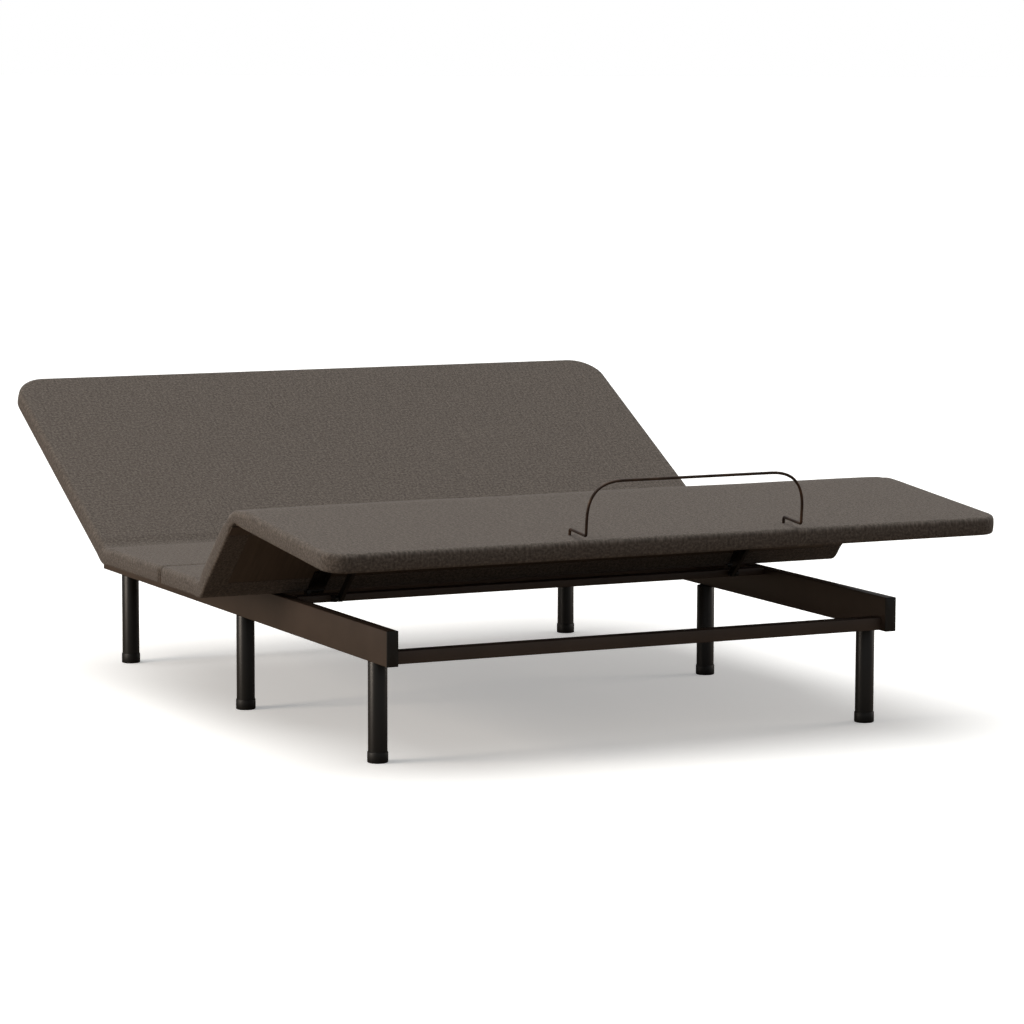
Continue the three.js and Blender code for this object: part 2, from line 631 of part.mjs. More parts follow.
// the ears that hold an actuator's tail pin, in the tail pin's own frame
function tailEars(length) {
  const { inner, outer, below, above } = TAIL_EARS;
  return [
    box(-outer, -inner, -length, 10, -below, above),
    box(inner, outer, -length, 10, -below, above),
    barAlongX(DRIVE_PIN_RADIUS, -outer, outer, 0, 0),
  ];
}

function backDriveBracket() {
  const [y, z] = BACK_DRIVE.tail;
  const [tubeY, depth, tubeZ, height] = CROSS_TUBES.middle_cross_tube;
  const face = tubeY + depth + GAP - y;
  const plate = box(-30, 30, face, face + BRACKET_THICKNESS, tubeZ - z, tubeZ + height - z - 5);
  bed.add(named('back_drive_bracket', join(plate, ...tailEars(-face - 1)).translate(0, y, z), blackSteel()));
}

function thighDriveBracket() {
  const [y, z] = THIGH_DRIVE.tail;
  const { outer, below, above } = TAIL_EARS;
  const wall = -RAIL_INNER_X + GAP - THIGH_DRIVE.x;
  const plate = box(wall, wall + BRACKET_THICKNESS, -20, 24, -below, above + 10);
  const shelf = box(wall, outer, -10, 10, above - BRACKET_THICKNESS, above);
  const bracket = join(plate, shelf, ...tailEars(10));
  bed.add(named('thigh_drive_bracket', bracket.translate(THIGH_DRIVE.x, y, z), blackSteel()));
}

// hangs under the rear seat board; its sockets face the foot end
function controlBox() {
  const { x: [x0, x1], y: [y0, y1], bottom } = CONTROL_BOX;
  const { width, height, depth, rise } = SOCKET;
  const socket = (x) =>
    box(x - width / 2, x + width / 2, y0 - 1, y0 + depth, bottom + rise, bottom + rise + height);
  const powerInlet = new THREE.CylinderGeometry(INLET_RADIUS, INLET_RADIUS, depth + 2, ROUND);
  powerInlet.translate(x1 - 28, y0 + depth / 2, bottom + rise + height / 2);
  const casing = box(x0, x1, y0, y1, bottom, DECK_UNDERSIDE - 2 * GAP);
  const bored = cut(casing, socket(x0 + 35), socket(x0 + 75), powerInlet);
  bed.add(named('control_box', bored, blackPlastic()));
}

backDriveBracket();
thighDriveBracket();
controlBox();

// ---- mattress retainer: one bent rod plugged into the leg section ----
function retainerBar() {
  const base = DECK_THICKNESS + RETAINER_FOOT_RISE;
  const top = DECK_THICKNESS + RETAINER_HEIGHT;
  const [x0, x1] = RETAINER_X;
  const corners = [
    [[x0, RETAINER_SOCKET_Y, RETAINER_TAIL_Z], 0],
    [[x0, RETAINER_SOCKET_Y, base], RETAINER_BEND],
    [[x0, RETAINER_UPRIGHT_Y, base], RETAINER_BEND],
    [[x0, RETAINER_UPRIGHT_Y, top], RETAINER_CORNER],
    [[x1, RETAINER_UPRIGHT_Y, top], RETAINER_CORNER],
    [[x1, RETAINER_UPRIGHT_Y, base], RETAINER_BEND],
    [[x1, RETAINER_SOCKET_Y, base], RETAINER_BEND],
    [[x1, RETAINER_SOCKET_Y, RETAINER_TAIL_Z], 0],
  ].map(([p, radius]) => ({ p: new THREE.Vector3(...p), radius }));
  const path = roundedPath(corners);
  const section = new THREE.Shape();
  section.absarc(0, 0, RETAINER_ROD_RADIUS, 0, 2 * Math.PI);
  const rod = new THREE.ExtrudeGeometry(section, { extrudePath: path, steps: 110, curveSegments: 5 });
  leg.add(named('retainer_bar', fromSolid(toSolid(rod)), bronzeRod()));
}

// straight runs joined by bends that start and end one radius away from each corner
function roundedPath(corners) {
  const path = new THREE.CurvePath();
  let from = corners[0].p;
  corners.slice(1).forEach(({ p, radius }, index) => {
    const next = corners[index + 2];
    const arrive = p.clone().sub(from).normalize();
    const start = p.clone().addScaledVector(arrive, -radius);
    path.add(new THREE.LineCurve3(from, start));
    if (next) {
      const leave = next.p.clone().sub(p).normalize();
      const end = p.clone().addScaledVector(leave, radius);
      path.add(new THREE.QuadraticBezierCurve3(start, p, end));
      from = end;
    }
  });
  return path;
}
retainerBar();

// ---- origin: on the floor, under the middle of everything ----
const model = new THREE.Group();
model.add(bed);
model.updateMatrixWorld(true);
const bounds = new THREE.Box3().setFromObject(model, true);
bed.position.y = -(bounds.min.y + bounds.max.y) / 2;
bed.position.x = -(bounds.min.x + bounds.max.x) / 2;

export default model;
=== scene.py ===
# Adjustable bed base: an upholstered deck that folds at the back, the thigh and the knee, on a
# painted steel frame with six legs. Metres, +Z up, +Y towards the head of the bed.
import json
import math

import bpy
import numpy as np
from mathutils import Matrix, Vector


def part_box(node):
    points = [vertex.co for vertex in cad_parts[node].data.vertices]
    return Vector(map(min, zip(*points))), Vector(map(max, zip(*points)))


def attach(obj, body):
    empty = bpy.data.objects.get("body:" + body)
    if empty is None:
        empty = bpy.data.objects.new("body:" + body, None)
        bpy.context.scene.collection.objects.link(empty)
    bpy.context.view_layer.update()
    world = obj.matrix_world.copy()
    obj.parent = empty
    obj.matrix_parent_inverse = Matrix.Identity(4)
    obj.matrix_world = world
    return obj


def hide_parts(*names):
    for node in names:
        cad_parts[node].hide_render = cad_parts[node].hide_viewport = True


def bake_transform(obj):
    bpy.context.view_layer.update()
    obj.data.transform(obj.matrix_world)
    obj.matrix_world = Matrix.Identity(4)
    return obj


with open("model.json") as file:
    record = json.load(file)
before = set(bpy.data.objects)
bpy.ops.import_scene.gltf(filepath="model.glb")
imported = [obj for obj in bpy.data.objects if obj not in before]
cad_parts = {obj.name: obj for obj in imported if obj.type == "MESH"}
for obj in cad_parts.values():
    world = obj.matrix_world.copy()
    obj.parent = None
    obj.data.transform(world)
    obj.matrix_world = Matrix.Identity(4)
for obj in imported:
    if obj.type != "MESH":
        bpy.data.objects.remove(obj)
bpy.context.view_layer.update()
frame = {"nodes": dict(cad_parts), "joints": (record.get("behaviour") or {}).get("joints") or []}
MM = 0.001


# ---- camera ----
# A long lens, low at the foot end, to the left of the bed and looking along it.
LENS_MM = 137.82
CAMERA_PLACE = (-3.6841, -7.7846, 1.4173)  # from the middle legs
CAMERA_TURN = -25.766  # degrees to the right of straight along the bed
CAMERA_DOWN = 6.732
CAMERA_ROLL = 0.139

camera = bpy.data.objects.new("camera", bpy.data.cameras.new("camera"))
bpy.context.scene.collection.objects.link(camera)
camera.data.sensor_width = 36
camera.data.lens = LENS_MM
camera.data.clip_end = 200
middle_legs = sum(corner.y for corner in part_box("leg_left_middle")) / 2
camera.matrix_world = (
    Matrix.Translation((CAMERA_PLACE[0], CAMERA_PLACE[1] + middle_legs, CAMERA_PLACE[2]))
    @ Matrix.Rotation(math.radians(CAMERA_TURN), 4, "Z")
    @ Matrix.Rotation(math.radians(90 - CAMERA_DOWN), 4, "X")
    @ Matrix.Rotation(math.radians(CAMERA_ROLL), 4, "Z")
)
bpy.context.scene.camera = camera


# ---- studio ----
# A pale floor that runs out of sight and glows a little, so that shadows on it stay light; a wide
# soft light straight overhead, even over the whole floor, and a weak one on each side.
FLOOR_SIZE = 400.0
FLOOR_COLOUR = "#f6f6f4"
FLOOR_BOUNCE = "#7d6f61"
FLOOR_GLOW = 0.32
BACKDROP_STRENGTH = 1.0
ROOM_STRENGTH = 0.3
OVERHEAD_STRENGTH = 2.4
OVERHEAD_ANGLE = 65  # degrees across
OVERHEAD_TILT = (7, 9)  # degrees, towards the head and towards the left
SIDE_LIGHT_SIZE = 2.0
SIDE_LIGHT_AIM = (0.0, 0.0, 0.2)
SIDE_LIGHT_GLOSS = 0.15  # how much of the side lights shows in reflections
SIDE_LIGHTS = (
    ("left_side", (-5.0, 0.2, 1.6), 120, "#fff0e0"),
    ("right_side", (5.0, -0.5, 1.6), 45, "#fff4ea"),
)


def linear(hex_text):
    """The linear RGBA of an sRGB hex colour, by the sRGB transfer curve."""
    channels = np.array([int(hex_text[i : i + 2], 16) for i in (1, 3, 5)]) / 255
    low = channels / 12.92
    high = ((channels + 0.055) / 1.055) ** 2.4
    return (*np.where(channels <= 0.04045, low, high).tolist(), 1.0)


def add_node(tree, kind, inputs=None, **settings):
    """Adds a node; an input is a value, or the output socket to link to it."""
    node = tree.nodes.new(kind)
    for name, value in settings.items():
        setattr(node, name, value)
    for name, value in (inputs or {}).items():
        if isinstance(value, bpy.types.NodeSocket):
            tree.links.new(value, node.inputs[name])
        else:
            node.inputs[name].default_value = value
    return node


def new_material(name):
    """An empty node material and its tree."""
    material = bpy.data.materials.new(name)
    material.use_nodes = True
    material.node_tree.nodes.clear()
    return material, material.node_tree


def set_surface(tree, shader):
    """Links a shader to a new material output."""
    add_node(tree, "ShaderNodeOutputMaterial", {"Surface": shader.outputs[0]})


def add_side_light(name, place, watts, colour):
    """A square soft light at `place`, turned to face the middle of the bed."""
    light = bpy.data.lights.new(name, "AREA")
    light.size = SIDE_LIGHT_SIZE
    light.energy = watts
    light.color = linear(colour)[:3]
    light.specular_factor = SIDE_LIGHT_GLOSS
    holder = bpy.data.objects.new(name, light)
    bpy.context.scene.collection.objects.link(holder)
    away = Vector(place) - Vector(SIDE_LIGHT_AIM)
    facing = away.to_track_quat("Z", "Y").to_matrix().to_4x4()
    holder.matrix_world = Matrix.Translation(place) @ facing


half = FLOOR_SIZE / 2
floor_mesh = bpy.data.meshes.new("studio_floor")
floor_corners = [(-half, -half, 0), (half, -half, 0), (half, half, 0), (-half, half, 0)]
floor_mesh.from_pydata(floor_corners, [], [(0, 1, 2, 3)])
floor = bpy.data.objects.new("studio_floor", floor_mesh)
bpy.context.scene.collection.objects.link(floor)
floor_paint, tree = new_material("matte_floor_paint")
seen = add_node(tree, "ShaderNodeLightPath").outputs["Is Camera Ray"]
floor_tone = add_node(
    tree,
    "ShaderNodeMix",
    {0: seen, 6: linear(FLOOR_BOUNCE), 7: linear(FLOOR_COLOUR)},
    data_type="RGBA",
)
glow_strength = add_node(tree, "ShaderNodeMath", {0: seen, 1: FLOOR_GLOW}, operation="MULTIPLY")
glow = add_node(tree, "ShaderNodeEmission", {"Strength": glow_strength.outputs[0]})
matte = add_node(tree, "ShaderNodeBsdfDiffuse", {"Color": floor_tone.outputs[2]})
set_surface(tree, add_node(tree, "ShaderNodeAddShader", {0: matte.outputs[0], 1: glow.outputs[0]}))
floor_mesh.materials.append(floor_paint)

world = bpy.data.worlds.new("studio")
world.use_nodes = True
world.node_tree.nodes.clear()
tree = world.node_tree
seen = add_node(tree, "ShaderNodeLightPath").outputs["Is Camera Ray"]
strength = add_node(tree, "ShaderNodeMix", {0: seen, 2: ROOM_STRENGTH, 3: BACKDROP_STRENGTH})
background = add_node(
    tree, "ShaderNodeBackground", {"Color": (1, 1, 1, 1), "Strength": strength.outputs[0]}
)
add_node(tree, "ShaderNodeOutputWorld", {"Surface": background.outputs[0]})
bpy.context.scene.world = world
bpy.context.scene.view_settings.view_transform = "Standard"

overhead = bpy.data.lights.new("overhead", "SUN")
overhead.energy = OVERHEAD_STRENGTH
overhead.angle = math.radians(OVERHEAD_ANGLE)
sky = bpy.data.objects.new("overhead", overhead)
sky.rotation_euler = (-math.radians(OVERHEAD_TILT[0]), -math.radians(OVERHEAD_TILT[1]), 0)
bpy.context.scene.collection.objects.link(sky)
for side_light in SIDE_LIGHTS:
    add_side_light(*side_light)


# ---- deck covers ----
# Foam wrapped in a heathered, woven polyester, pulled over each plywood board and stapled under
# its edge. One cover runs over the rear seat and the back, the others over the front seat, the
# thigh and the leg section, and each bends at its fold.
DECK_THICKNESS = 37 * MM
TOP_EDGE_RADIUS = 10 * MM
BOTTOM_EDGE_RADIUS = 5 * MM
UNDER_CLOTH = 0.8 * MM  # the cloth under the board
RECESS_TOP = 15.5 * MM  # the board lies in this recess
STAPLED_MARGIN = 50 * MM
FOLD_MARGIN = 46 * MM  # the recess stops this far from a fold
STEP = 0.4 * MM  # length over which the recess's side rises
CORNER_ZONE = 130 * MM  # the outer strip that narrows into the rounded corners
SPLIT_CORNER_RADIUS = 14 * MM
HEAD_CORNER_RADIUS = 75 * MM
FOOT_CORNER_RADIUS = 45 * MM
CROWN = 1.6 * MM
CROWN_REACH = 70 * MM
SIDE_BULGE = 0.7 * MM
RIPPLE = 0.45 * MM
HOLLOW_REACH = 36 * MM
KNEE_HOLLOW = 11 * MM  # the foam is thinner over the knee, where the cover is pulled tight
EDGE_STEPS = np.array([0, 0.3, 1.1, 2.3, 3.9, 5.9, 8.3, 11, 15, 21, 29, 39]) * MM
MARGIN_STEPS = np.array([66, 82, 98, 114]) * MM
COARSE = 14 * MM
FINE = 4 * MM
FINE_ZONE = 48 * MM  # each side of a fold
LEAST_SPACING = 0.2 * MM
FOLD_REACH = 36 * MM
KNEE_REACH = 46 * MM
FOLD_PASSES = 60
SEAM_GAP = 0.1 * MM
RIPPLE_LENGTHS = (0.62, 0.41, 0.27, 0.19, 0.13)
SWELL_START = 30 * MM  # the ripple fades out over this distance to the edge
WALL_SHARES = np.array([0.25, 0.5, 0.75])
SHARP_ANGLE = math.radians(38)
THREAD_SPACING = 2.6 * MM
BACK_ANGLE = math.radians(28)
THIGH_ANGLE = math.radians(43)
KNEE_ANGLE = math.radians(48.1)

joints = {joint["name"]: joint for joint in frame["joints"]}
back_fold, thigh_fold, knee = (
    np.array(joints[name]["pos_m"]) for name in ("back_raise", "thigh_raise", "leg_fold")
)
deck_half_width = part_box("back_pad")[1].x


def mesh_piece(name, points, faces, material, uvs=None, uv_faces=None):
    """A smooth-shaded object from arrays of points and quads; a repeated last corner makes a triangle."""
    mesh = bpy.data.meshes.new(name)
    corners = [face[:3] if face[3] == face[2] else face for face in faces.tolist()]
    mesh.from_pydata(points.tolist(), [], corners)
    mesh.materials.append(material)
    mesh.shade_smooth()
    mesh.set_sharp_from_angle(angle=SHARP_ANGLE)
    if uvs is not None:
        layer = mesh.uv_layers.new(name="cloth")
        layer.data.foreach_set("uv", uvs[uv_faces.ravel()].astype(np.float32).ravel())
    piece = bpy.data.objects.new(name, mesh)
    bpy.context.scene.collection.objects.link(piece)
    return piece


def corner_distance(side, end, radius):
    """Distance to an outline whose corner has that radius, from the distances to its two edges."""
    in_corner = (side < radius) & (end < radius)
    return np.where(in_corner, radius - np.hypot(radius - side, radius - end), np.minimum(side, end))


def quarter_round(distance, radius):
    """Drop of a rounded edge below the flat face, at that distance in from the edge."""
    inside = np.clip(radius - distance, 0, radius)
    return radius - np.sqrt(radius**2 - inside**2)


def graded(start, stop, step):
    """Evenly spaced values from start up to stop, no further apart than step."""
    return np.linspace(start, stop, max(2, int(math.ceil((stop - start) / step)) + 1))


def cover_lines(start, stop, fold, start_radius, stop_radius):
    """Station lines along the cover: close at rounded ends, at the fold and at the recess's ends."""
    lines = [graded(start, stop, COARSE), graded(fold - FINE_ZONE, fold + FINE_ZONE, FINE)]
    recess_marks = [fold - FOLD_MARGIN, fold + FOLD_MARGIN]
    if start_radius:
        lines.append(start + EDGE_STEPS)
        recess_marks.append(start + STAPLED_MARGIN)
    if stop_radius:
        lines.append(stop - EDGE_STEPS)
        recess_marks.append(stop - STAPLED_MARGIN)
    inner = np.concatenate(lines)
    far = np.all(np.abs(inner[:, None] - np.array(recess_marks)) > 1.5 * MM, axis=1)
    marks = np.concatenate([np.array(recess_marks) + half_step for half_step in (-STEP / 2, STEP / 2)])
    values = np.sort(np.concatenate([inner[far], marks]))
    return values[np.concatenate([[True], np.diff(values) > LEAST_SPACING])]


def recess_stations(lines, start, stop, fold, start_radius, stop_radius):
    """True where the board's recess runs: off the fold and off the stapled margin of rounded ends."""
    low = start + (STAPLED_MARGIN if start_radius else -1)
    high = stop - (STAPLED_MARGIN if stop_radius else -1)
    return (lines > low) & (lines < high) & (np.abs(lines - fold) > FOLD_MARGIN)


def ripple(x, y, seed):
    """Slight unevenness of stretched cloth: a sum of long waves with seeded directions and phases."""
    draw = np.random.default_rng(seed)
    total = np.zeros_like(x)
    for length in RIPPLE_LENGTHS:
        turn, phase = draw.uniform(0, math.pi), draw.uniform(0, 2 * math.pi)
        along = (x * math.cos(turn) + y * math.sin(turn)) / length
        total += np.sin(2 * math.pi * along + phase) * length
    return total * RIPPLE / 0.8


def flat_cover(start, stop, fold, start_radius, stop_radius, seed, hollow):
    """The unfolded cover as a closed surface. Both faces are a grid over the rounded plan, whose height
    falls away near the edge as a quarter circle, and near the fold by hollow * exp(-(y / reach)^2); a
    wall of rings joins them, and the lower face has a recess for the board. Returns points, faces,
    UVs in metres along the cloth, and UV faces."""
    recess_side = [STAPLED_MARGIN - STEP / 2, STAPLED_MARGIN + STEP / 2]
    edge = np.concatenate([EDGE_STEPS, recess_side, MARGIN_STEPS])
    middle = graded(CORNER_ZONE - deck_half_width, deck_half_width - CORNER_ZONE, COARSE)
    across = np.concatenate([edge - deck_half_width, middle, (deck_half_width - edge)[::-1]])
    along = cover_lines(start, stop, fold, start_radius, stop_radius)
    x, y = np.meshgrid(across, along, indexing="ij")

    def pulled_in(to_end, radius):
        reach = np.clip(radius - to_end, 0, radius)
        return radius - np.sqrt(radius**2 - reach**2)

    narrowing = np.zeros_like(y)
    if start_radius:
        narrowing += pulled_in(y - start, start_radius)
    if stop_radius:
        narrowing += pulled_in(stop - y, stop_radius)
    outer = np.clip(np.abs(x) - (deck_half_width - CORNER_ZONE), 0, None)
    x = x - np.sign(x) * outer * narrowing / CORNER_ZONE

    distance = deck_half_width - np.abs(x)
    if start_radius:
        distance = np.minimum(distance, corner_distance(deck_half_width - np.abs(x), y - start, start_radius))
    if stop_radius:
        distance = np.minimum(distance, corner_distance(deck_half_width - np.abs(x), stop - y, stop_radius))
    distance = np.clip(distance, 0, None)

    crown = CROWN * (1 - np.exp(-distance / CROWN_REACH))
    swell = crown + ripple(x, y, seed) * np.clip(distance / SWELL_START, 0, 1)
    thinning = hollow * np.exp(-(((y - fold) / HOLLOW_REACH) ** 2))
    top = DECK_THICKNESS - thinning - quarter_round(distance, TOP_EDGE_RADIUS) + swell
    bottom = quarter_round(distance, BOTTOM_EDGE_RADIUS) - UNDER_CLOTH
    in_x = np.abs(across) < deck_half_width - STAPLED_MARGIN
    in_y = recess_stations(along, start, stop, fold, start_radius, stop_radius)
    recessed = in_x[:, None] & in_y[None, :]
    bottom = np.where(recessed, RECESS_TOP, bottom)

    columns, rows = x.shape
    index = np.arange(columns * rows).reshape(columns, rows)
    ring = np.concatenate([index[:, 0], index[-1, 1:], index[-2::-1, -1], index[0, -2:0:-1]])
    flat_x, flat_y = x.ravel(), y.ravel()
    top_points = np.stack([flat_x, flat_y, top.ravel()], axis=1)
    bottom_points = np.stack([flat_x, flat_y, bottom.ravel()], axis=1)
    upper, lower = top_points[ring], bottom_points[ring]
    tangent = np.roll(upper, -1, axis=0)[:, :2] - np.roll(upper, 1, axis=0)[:, :2]
    outward = np.stack([tangent[:, 1], -tangent[:, 0]], axis=1)
    outward /= np.linalg.norm(outward, axis=1, keepdims=True)
    soft_end = np.ones(len(ring))
    for limit, radius in ((start, start_radius), (stop, stop_radius)):
        if not radius:
            soft_end = np.where(np.abs(flat_y[ring] - limit) < 1 * MM, 0, soft_end)
    walls = []
    for share in WALL_SHARES:
        middle_ring = upper * (1 - share) + lower * share
        middle_ring[:, :2] += outward * (SIDE_BULGE * math.sin(math.pi * share) * soft_end)[:, None]
        walls.append(middle_ring)
    points = np.concatenate([top_points, bottom_points, *walls])

    count = columns * rows
    a = index[:-1, :-1].ravel()
    b = index[1:, :-1].ravel()
    c = index[1:, 1:].ravel()
    d = index[:-1, 1:].ravel()
    top_faces = np.stack([a, b, c, d], axis=1)
    bottom_faces = np.stack([a, d, c, b], axis=1) + count
    size = len(ring)
    wall_rings = [2 * count + i * size + np.arange(size) for i in range(len(WALL_SHARES))]
    rings = [ring, *wall_rings, ring + count]
    wall_faces = np.concatenate(
        [
            np.stack([high, low, np.roll(low, -1), np.roll(high, -1)], axis=1)
            for high, low in zip(rings[:-1], rings[1:])
        ]
    )
    faces = np.concatenate([top_faces, bottom_faces, wall_faces])

    sheet_uv = np.stack([flat_x, flat_y], axis=1)
    wall_uv = np.concatenate(
        [
            sheet_uv[ring] + outward * (upper[:, 2:3] - points[level][:, 2:3])
            for level in rings
        ]
    )
    uvs = np.concatenate([sheet_uv, sheet_uv, wall_uv])
    wall_uv_faces = np.concatenate(
        [
            np.stack(
                [
                    2 * count + i * size + np.arange(size),
                    2 * count + (i + 1) * size + np.arange(size),
                    2 * count + (i + 1) * size + np.roll(np.arange(size), -1),
                    2 * count + i * size + np.roll(np.arange(size), -1),
                ],
                axis=1,
            )
            for i in range(len(WALL_SHARES) + 1)
        ]
    )
    return points, faces, uvs, np.concatenate([top_faces, bottom_faces, wall_uv_faces])


def turned(points, pivot, angle):
    """Points turned about a line along +X through the pivot, by an angle or one angle each."""
    y, z = points[:, 1] - pivot[1], points[:, 2] - pivot[2]
    cos, sin = np.cos(angle), np.sin(angle)
    return np.stack([points[:, 0], pivot[1] + y * cos - z * sin, pivot[2] + y * sin + z * cos], axis=1)


def folded(points, pivot, angle, side, reach):
    """Bends a flat cover about the pivot: nothing turns on one side, the whole angle on the other, with
    a smooth step between two planes `reach` each side of the fold, measured on the bent cover."""
    chord = np.array([0, side * math.cos(angle / 2), side * math.sin(angle / 2)])
    bent = points
    for _ in range(FOLD_PASSES):
        share = np.clip(((bent - pivot) @ chord + reach) / (2 * reach), 0, 1)
        share = share * share * (3 - 2 * share)
        bent = 0.5 * bent + 0.5 * turned(points, pivot, angle * share)
    return bent, pivot - chord * reach, pivot + chord * reach


def set_stops(ramp, *stops):
    """Puts (position, sRGB hex) stops on a colour ramp: the outer two first, then those between."""
    elements = ramp.color_ramp.elements
    for element, (place, colour) in zip(elements, (stops[0], stops[-1])):
        element.position = place
        element.color = linear(colour)
    for place, colour in stops[1:-1]:
        elements.new(place).color = linear(colour)
    return ramp.outputs["Color"]


def woven_cloth():
    """Heathered woven polyester upholstery: matt, with flecks of dark and light yarn, faint slubs
    along the warp, and a plain weave drawn at 2.6 mm so that it shows, its hollows darkened by
    painted shade."""
    material, tree = new_material("heathered_woven_polyester")
    uv = add_node(tree, "ShaderNodeUVMap", uv_map="cloth").outputs["UV"]

    noises = {}
    for layer, size_mm, stretch, detail in (
        ("flecks", 5.5, (1, 1), 3),
        ("warp", 5.5, (1, 14), 3),
        ("weft", 4.5, (16, 1), 3),
        ("nubs", 3.6, (1, 1), 2),
    ):
        scale = (1 / stretch[0], 1 / stretch[1], 1)
        scaled = add_node(tree, "ShaderNodeMapping", {"Vector": uv, "Scale": scale})
        noises[layer] = add_node(
            tree,
            "ShaderNodeTexNoise",
            {
                "Vector": scaled.outputs[0],
                "Scale": 1 / (size_mm * MM),
                "Detail": detail,
                "Roughness": 0.6,
            },
        ).outputs["Fac"]

    colours = {}
    for layer, stops in (
        ("flecks", ((0.34, "#3b342e"), (0.5, "#5e564f"), (0.66, "#7e756c"))),
        ("warp", ((0.3, "#4a423b"), (0.5, "#5e564f"), (0.7, "#726960"))),
        ("weft", ((0.3, "#514943"), (0.5, "#5e564f"), (0.7, "#6b625b"))),
    ):
        ramp = add_node(tree, "ShaderNodeValToRGB", {"Fac": noises[layer]})
        colours[layer] = set_stops(ramp, *stops)
    yarns = add_node(
        tree, "ShaderNodeMix", {0: 0.4, 6: colours["warp"], 7: colours["weft"]}, data_type="RGBA"
    ).outputs[2]
    heather = add_node(
        tree, "ShaderNodeMix", {0: 0.58, 6: yarns, 7: colours["flecks"]}, data_type="RGBA"
    ).outputs[2]

    split = add_node(tree, "ShaderNodeSeparateXYZ", {"Vector": uv})
    thread = 2 * math.pi / THREAD_SPACING
    waves = []
    for i in (0, 1):
        phase = add_node(tree, "ShaderNodeMath", {0: split.outputs[i], 1: thread}, operation="MULTIPLY")
        waves.append(add_node(tree, "ShaderNodeMath", {0: phase.outputs[0]}, operation="SINE").outputs[0])
    weave = add_node(tree, "ShaderNodeMath", {0: waves[0], 1: waves[1]}, operation="MULTIPLY").outputs[0]
    relief = add_node(
        tree, "ShaderNodeMath", {0: weave, 1: 0.25, 2: noises["nubs"]}, operation="MULTIPLY_ADD"
    )
    bump = add_node(
        tree, "ShaderNodeBump", {"Height": relief.outputs[0], "Strength": 0.7, "Distance": 1.4 * MM}
    )
    # Painted shade: the cloth's colour is darkened where the weave dips, as shade in its hollows.
    depth = add_node(tree, "ShaderNodeMath", {0: weave, 1: 0.12, 2: 0.5}, operation="MULTIPLY_ADD")
    painted_weave_shade_ramp = add_node(tree, "ShaderNodeValToRGB", {"Fac": depth.outputs[0]})
    painted_weave_shade = set_stops(painted_weave_shade_ramp, (0.3, "#c9c9c9"), (0.7, "#ffffff"))
    colour = add_node(
        tree, "ShaderNodeMix", {0: 1.0, 6: heather, 7: painted_weave_shade}, data_type="RGBA", blend_type="MULTIPLY"
    ).outputs[2]
    shader = add_node(
        tree,
        "ShaderNodeBsdfPrincipled",
        {
            "Base Color": colour,
            "Roughness": 0.95,
            "IOR": 1.45,
            "Specular IOR Level": 0.2,
            "Sheen Weight": 0.12,
            "Sheen Roughness": 0.5,
            "Normal": bump.outputs[0],
        },
    )
    set_surface(tree, shader)
    return material


cloth = woven_cloth()


def make_cover(start, stop, pivot, angle, side, reach, radii, seed, hollow=0):
    """A cover folded at the pivot in its parent's plane, and its blend planes."""
    points, faces, uvs, uv_faces = flat_cover(start, stop, pivot[1], *radii, seed, hollow)
    points[:, 2] += pivot[2]
    bent, first, last = folded(points, pivot, angle, side, reach)
    return bent, faces, uvs, uv_faces, first, last


def add_cover(name, made, replaced, carry=None):
    points, faces, uvs, uv_faces, first, last = made
    if carry:
        points, first, last = (turned(np.atleast_2d(p), *carry) for p in (points, first, last))
    piece = mesh_piece(name, points, faces, cloth, uvs, uv_faces)
    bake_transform(piece)
    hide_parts(*replaced)


rear_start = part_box("seat_pad_rear")[0].y
front_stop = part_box("seat_pad_front")[1].y
BACK_LENGTH = 707 * MM
THIGH_LENGTH = 256 * MM
LEG_LENGTH = 497 * MM
rear_cover = make_cover(
    rear_start, back_fold[1] + BACK_LENGTH, back_fold, BACK_ANGLE, 1, FOLD_REACH,
    (SPLIT_CORNER_RADIUS, HEAD_CORNER_RADIUS), 11,
)
add_cover("cover_seat_back", rear_cover, ("seat_pad_rear", "back_pad"))

seam = THIGH_LENGTH / 2
front_cover = make_cover(
    thigh_fold[1] - seam, front_stop, thigh_fold, -THIGH_ANGLE, -1, FOLD_REACH,
    (0, SPLIT_CORNER_RADIUS), 12,
)
add_cover("cover_seat_thigh", front_cover, ("seat_pad_front", "thigh_pad"))

flat_knee = np.array([0, thigh_fold[1] - THIGH_LENGTH, thigh_fold[2]])
leg_cover = make_cover(
    flat_knee[1] - LEG_LENGTH, thigh_fold[1] - seam - SEAM_GAP, flat_knee, KNEE_ANGLE, -1, KNEE_REACH,
    (FOOT_CORNER_RADIUS, 0), 13, KNEE_HOLLOW,
)
add_cover(
    "cover_thigh_leg", leg_cover, ("leg_pad",), carry=(thigh_fold, -THIGH_ANGLE)
)


# ---- plywood boards ----
# 15 mm plywood in each section, stained dark brown underneath, seen inside the stapled margin.
def stained_plywood():
    """Stained plywood: long grain along the bed, satin, drawn at 9 mm between the darker bands."""
    material, tree = new_material("stained_plywood")
    place = add_node(tree, "ShaderNodeTexCoord").outputs["Object"]
    along = add_node(tree, "ShaderNodeMapping", {"Vector": place, "Scale": (1, 0.06, 0.06)})
    grain = add_node(
        tree,
        "ShaderNodeTexNoise",
        {"Vector": along.outputs[0], "Scale": 1 / (9 * MM), "Detail": 5, "Roughness": 0.65},
    )
    ramp = add_node(tree, "ShaderNodeValToRGB", {"Fac": grain.outputs["Fac"]})
    stain = set_stops(ramp, (0.3, "#433930"), (0.7, "#564a3f"))
    bump = add_node(
        tree, "ShaderNodeBump", {"Height": grain.outputs["Fac"], "Strength": 0.3, "Distance": 0.4 * MM}
    )
    shader = add_node(
        tree,
        "ShaderNodeBsdfPrincipled",
        {"Base Color": stain, "Roughness": 0.6, "Normal": bump.outputs[0]},
    )
    set_surface(tree, shader)
    return material


